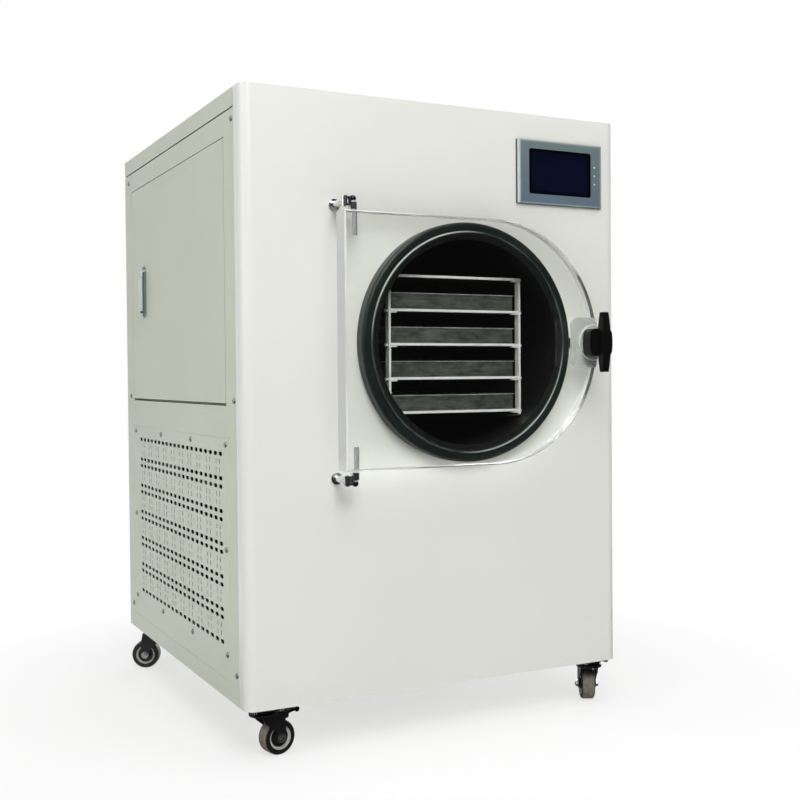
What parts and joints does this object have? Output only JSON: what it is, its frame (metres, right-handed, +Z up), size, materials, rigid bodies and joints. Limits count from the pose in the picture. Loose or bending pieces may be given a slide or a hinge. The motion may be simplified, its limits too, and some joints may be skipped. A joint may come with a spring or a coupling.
{
  "type": "freeze dryer",
  "caption": "Cabinet freeze dryer on casters with a clear swing door, a round vacuum chamber with a shelf rack, trays, touch screen and refrigeration unit.",
  "frame": {"origin": "on the floor, under the middle of the outer box", "axes": "+Z up, the chamber door faces -Y, +X to the right of a person who faces the door"},
  "size_m": [0.852, 1.0156, 1.225],
  "materials": {
    "paint": "fine powder coat, warm white, half matt",
    "steel": "brushed stainless steel",
    "shelf_alloy": "satin aluminium plate",
    "chrome": "bright plated",
    "black_metal": "black paint, satin",
    "seal_rubber": "black seal rubber, half gloss",
    "foam": "closed-cell foam, matt",
    "copper": "drawn copper, lightly dulled",
    "clear_slab": "clear cast acrylic, polished",
    "black_plastic": "black plastic, half matt",
    "bezel": "blue-grey moulded plastic",
    "screen": "dark glass",
    "red_plastic": "red plastic",
    "brass": "machined brass",
    "box_paint": "light grey paint",
    "tread": "dark grey tread on a light core"
  },
  "bodies": {
    "cabinet": {"base_tray": "paint", "cabinet_frame": "black_metal", "front_panel": "paint", "top_cover": "paint", "left_side_panel": "paint", "service_door_hinges": "chrome", "left_vent_plate": "paint", "right_side_panel": "paint", "rear_panel": "paint", "panel_screws": "chrome", "vacuum_chamber": "steel", "door_gasket": "seal_rubber", "evaporator_coil": "copper", "insulation_jacket": "foam", "vacuum_line": "steel", "feedthrough": "steel", "rack_frame": "steel", "rack_shelves": "shelf_alloy", "rack_bolts": "steel", "tray_1": "steel", "tray_2": "steel", "tray_3": "steel", "tray_4": "steel", "latch_keeper": "steel", "hinge_posts": "chrome", "hmi_housing": "bezel", "hmi_screen": "screen", "power_inlet": "black_plastic", "drain_valve": "brass", "compressor": "black_metal", "condenser": "black_metal", "fan_shroud": "black_metal", "refrigerant_lines": "copper", "filter_drier": "copper", "control_box": "box_paint", "caster_plates": "black_metal"},
    "links": {"hinge_links": "black_metal", "link_pins": "chrome"},
    "door": {"door_slab": "clear_slab", "latch_pad": "clear_slab", "door_pins": "chrome", "pin_caps": "black_plastic"},
    "latch": {"latch_knob": "black_plastic", "latch_stud": "steel"},
    "service_door": {"left_service_door": "paint", "lock_body": "chrome"},
    "lever": {"lock_lever": "chrome"},
    "fan": {"fan_blade": "black_plastic"},
    "rocker": {"power_rocker": "red_plastic"},
    "drain_handle": {"drain_lever": "red_plastic"},
    "fork_front_left": {"fork_front_left": "black_metal"},
    "wheel_front_left": {"wheel_front_left": "tread"},
    "pedal_left": {"brake_pedal_left": "black_plastic"},
    "fork_front_right": {"fork_front_right": "black_metal"},
    "wheel_front_right": {"wheel_front_right": "tread"},
    "pedal_right": {"brake_pedal_right": "black_plastic"},
    "fork_rear_left": {"fork_rear_left": "black_metal"},
    "wheel_rear_left": {"wheel_rear_left": "tread"},
    "fork_rear_right": {"fork_rear_right": "black_metal"},
    "wheel_rear_right": {"wheel_rear_right": "tread"}
  },
  "joints": [
    {"name": "link_swing", "type": "hinge", "parent": "cabinet", "child": "links", "pos_m": [-0.233, -0.4355, 0.763], "axis": [0, 0, -1], "range_deg": [0, 8]},
    {"name": "door_swing", "type": "hinge", "parent": "links", "child": "door", "pos_m": [-0.217, -0.4355, 0.763], "axis": [0, 0, -1], "range_deg": [0, 170]},
    {"name": "latch_turn", "type": "hinge", "parent": "door", "child": "latch", "pos_m": [0.298, -0.4658, 0.763], "axis": [0, 1, 0], "continuous": true},
    {"name": "service_door_swing", "type": "hinge", "parent": "cabinet", "child": "service_door", "pos_m": [-0.4075, -0.2827, 0.895], "axis": [0, 0, 1], "range_deg": [0, 100]},
    {"name": "lever_pull", "type": "hinge", "parent": "service_door", "child": "lever", "pos_m": [-0.4195, 0.2978, 0.858], "axis": [0, -1, 0], "range_deg": [0, 35], "stiffness_Nm_per_rad": 0.15},
    {"name": "fan_spin", "type": "hinge", "parent": "cabinet", "child": "fan", "pos_m": [-0.277, 0.0238, 0.319], "axis": [1, 0, 0], "continuous": true},
    {"name": "rocker_tilt", "type": "hinge", "parent": "cabinet", "child": "rocker", "pos_m": [-0.25, 0.4738, 0.238], "axis": [-1, 0, 0], "range_deg": [0, 16]},
    {"name": "drain_turn", "type": "hinge", "parent": "cabinet", "child": "drain_handle", "pos_m": [0.035, 0.4828, 0.441], "axis": [0, 0, 1], "range_deg": [0, 90]},
    {"name": "swivel_front_left", "type": "hinge", "parent": "cabinet", "child": "fork_front_left", "pos_m": [-0.3675, -0.3482, 0.079], "axis": [0, 0, 1], "continuous": true},
    {"name": "roll_front_left", "type": "hinge", "parent": "fork_front_left", "child": "wheel_front_left", "pos_m": [-0.33992, -0.34334, 0.0325], "axis": [-0.1736, 0.9848, 0], "continuous": true},
    {"name": "brake_left", "type": "hinge", "parent": "fork_front_left", "child": "pedal_left", "pos_m": [-0.32909, -0.34143, 0.074], "axis": [-0.1736, 0.9848, 0], "range_deg": [0, 20]},
    {"name": "swivel_front_right", "type": "hinge", "parent": "cabinet", "child": "fork_front_right", "pos_m": [0.3675, -0.3482, 0.079], "axis": [0, 0, 1], "continuous": true},
    {"name": "roll_front_right", "type": "hinge", "parent": "fork_front_right", "child": "wheel_front_right", "pos_m": [0.38021, -0.32325, 0.0325], "axis": [-0.891, 0.454, 0], "continuous": true},
    {"name": "brake_right", "type": "hinge", "parent": "fork_front_right", "child": "pedal_right", "pos_m": [0.38521, -0.31345, 0.074], "axis": [-0.891, 0.454, 0], "range_deg": [0, 20]},
    {"name": "swivel_rear_left", "type": "hinge", "parent": "cabinet", "child": "fork_rear_left", "pos_m": [-0.3675, 0.3898, 0.079], "axis": [0, 0, 1], "continuous": true},
    {"name": "roll_rear_left", "type": "hinge", "parent": "fork_rear_left", "child": "wheel_rear_left", "pos_m": [-0.39245, 0.40251, 0.0325], "axis": [-0.454, -0.891, 0], "continuous": true},
    {"name": "swivel_rear_right", "type": "hinge", "parent": "cabinet", "child": "fork_rear_right", "pos_m": [0.3675, 0.3898, 0.079], "axis": [0, 0, 1], "continuous": true},
    {"name": "roll_rear_right", "type": "hinge", "parent": "fork_rear_right", "child": "wheel_rear_right", "pos_m": [0.39245, 0.40251, 0.0325], "axis": [-0.454, 0.891, 0], "continuous": true}
  ]
}
